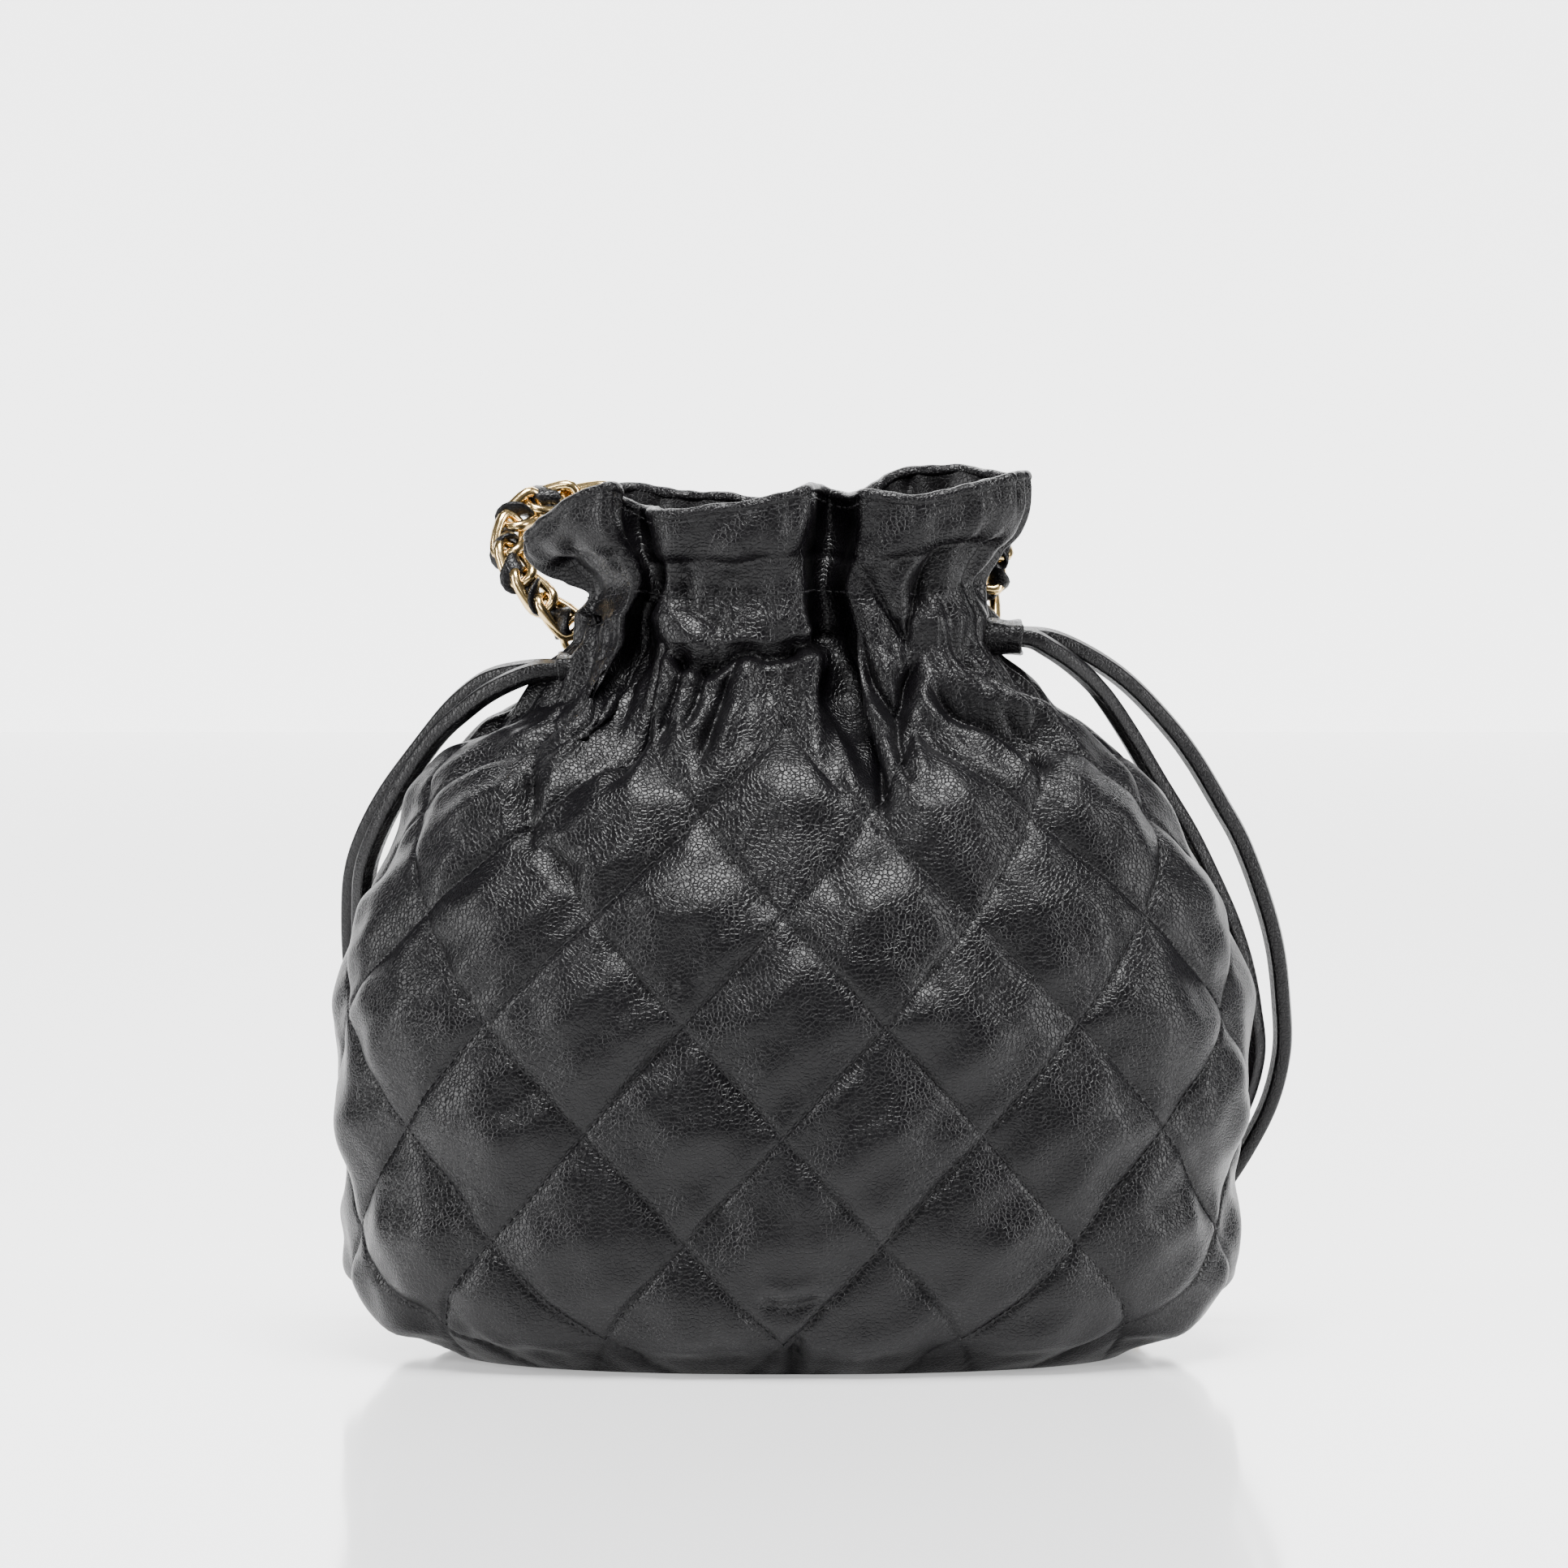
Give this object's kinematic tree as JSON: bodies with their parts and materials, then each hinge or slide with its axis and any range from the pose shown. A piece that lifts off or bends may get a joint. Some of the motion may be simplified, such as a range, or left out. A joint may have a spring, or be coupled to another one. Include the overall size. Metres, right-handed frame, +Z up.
{
  "type": "bucket bag",
  "caption": "Small quilted leather drawstring bucket bag with a gathered collar, leather drawstrings and a woven chain strap.",
  "frame": {"origin": "on the floor under the middle of the sack's flat base", "axes": "+Z up, -Y is the bag's front, +X towards the side of the upper drawstring sleeve"},
  "size_m": [0.2165, 0.1605, 0.2],
  "materials": {
    "quilted_leather": "soft grained lambskin, satin",
    "plain_leather": "soft grained lambskin, satin",
    "facing_leather": "smooth leather, satin",
    "string_leather": "folded stitched leather strip, satin",
    "wadding": "soft fibre wadding",
    "lining_cloth": "fine woven cloth, dull",
    "board": "pressed fibre board",
    "gold_metal": "polished pale gold plate",
    "zip_cloth": "ribbed woven tape"
  },
  "bodies": {
    "bag": {"front_panel": "quilted_leather", "back_panel": "quilted_leather", "left_side_panel": "quilted_leather", "right_side_panel": "quilted_leather", "base_panel": "quilted_leather", "quilt_wadding": "wadding", "lining": "lining_cloth", "base_board": "board", "casing_outer": "plain_leather", "casing_inner": "facing_leather", "collar": "plain_leather", "collar_facing": "facing_leather", "left_sleeve": "plain_leather", "right_sleeve": "plain_leather", "left_string_run": "string_leather", "right_string_run": "string_leather", "left_tab": "plain_leather", "right_tab": "plain_leather", "pocket_pouch": "lining_cloth", "zip_tape": "zip_cloth", "zip_teeth": "gold_metal"},
    "left_pull": {"left_strand_outer": "string_leather", "left_strand_inner": "string_leather", "left_keeper": "plain_leather"},
    "right_pull": {"right_strand_outer": "string_leather", "right_strand_inner": "string_leather", "right_keeper": "plain_leather"},
    "risers": {"left_ring": "gold_metal", "right_ring": "gold_metal", "left_riser_links": "gold_metal", "right_riser_links": "gold_metal", "left_riser_weave": "string_leather", "right_riser_weave": "string_leather"},
    "strap": {"strap_links_left": "gold_metal", "strap_links_floor": "gold_metal", "strap_links_right": "gold_metal", "strap_weave": "string_leather"},
    "slider": {"zip_slider": "gold_metal"},
    "pull": {"zip_pull": "gold_metal"}
  },
  "joints": [
    {"name": "left_draw", "type": "slide", "parent": "bag", "child": "left_pull", "axis": [-1, 0, 0], "range_m": [0, 0.007]},
    {"name": "right_draw", "type": "slide", "parent": "bag", "child": "right_pull", "axis": [1, 0, 0], "range_m": [0, 0.007]},
    {"name": "riser_lean", "type": "hinge", "parent": "bag", "child": "risers", "pos_m": [0, 0.016, 0.1539], "axis": [1, 0, 0], "range_deg": [0, 8]},
    {"name": "strap_swing", "type": "hinge", "parent": "risers", "child": "strap", "pos_m": [0, 0.03965, 0.1886], "axis": [1, 0, 0], "range_deg": [0, 160]},
    {"name": "zip_slide", "type": "slide", "parent": "bag", "child": "slider", "axis": [1, 0, 0], "range_m": [0, 0.063]},
    {"name": "pull_flip", "type": "hinge", "parent": "slider", "child": "pull", "pos_m": [-0.0315, 0.03365, 0.105], "axis": [1, 0, 0], "range_deg": [-120, 0]}
  ]
}
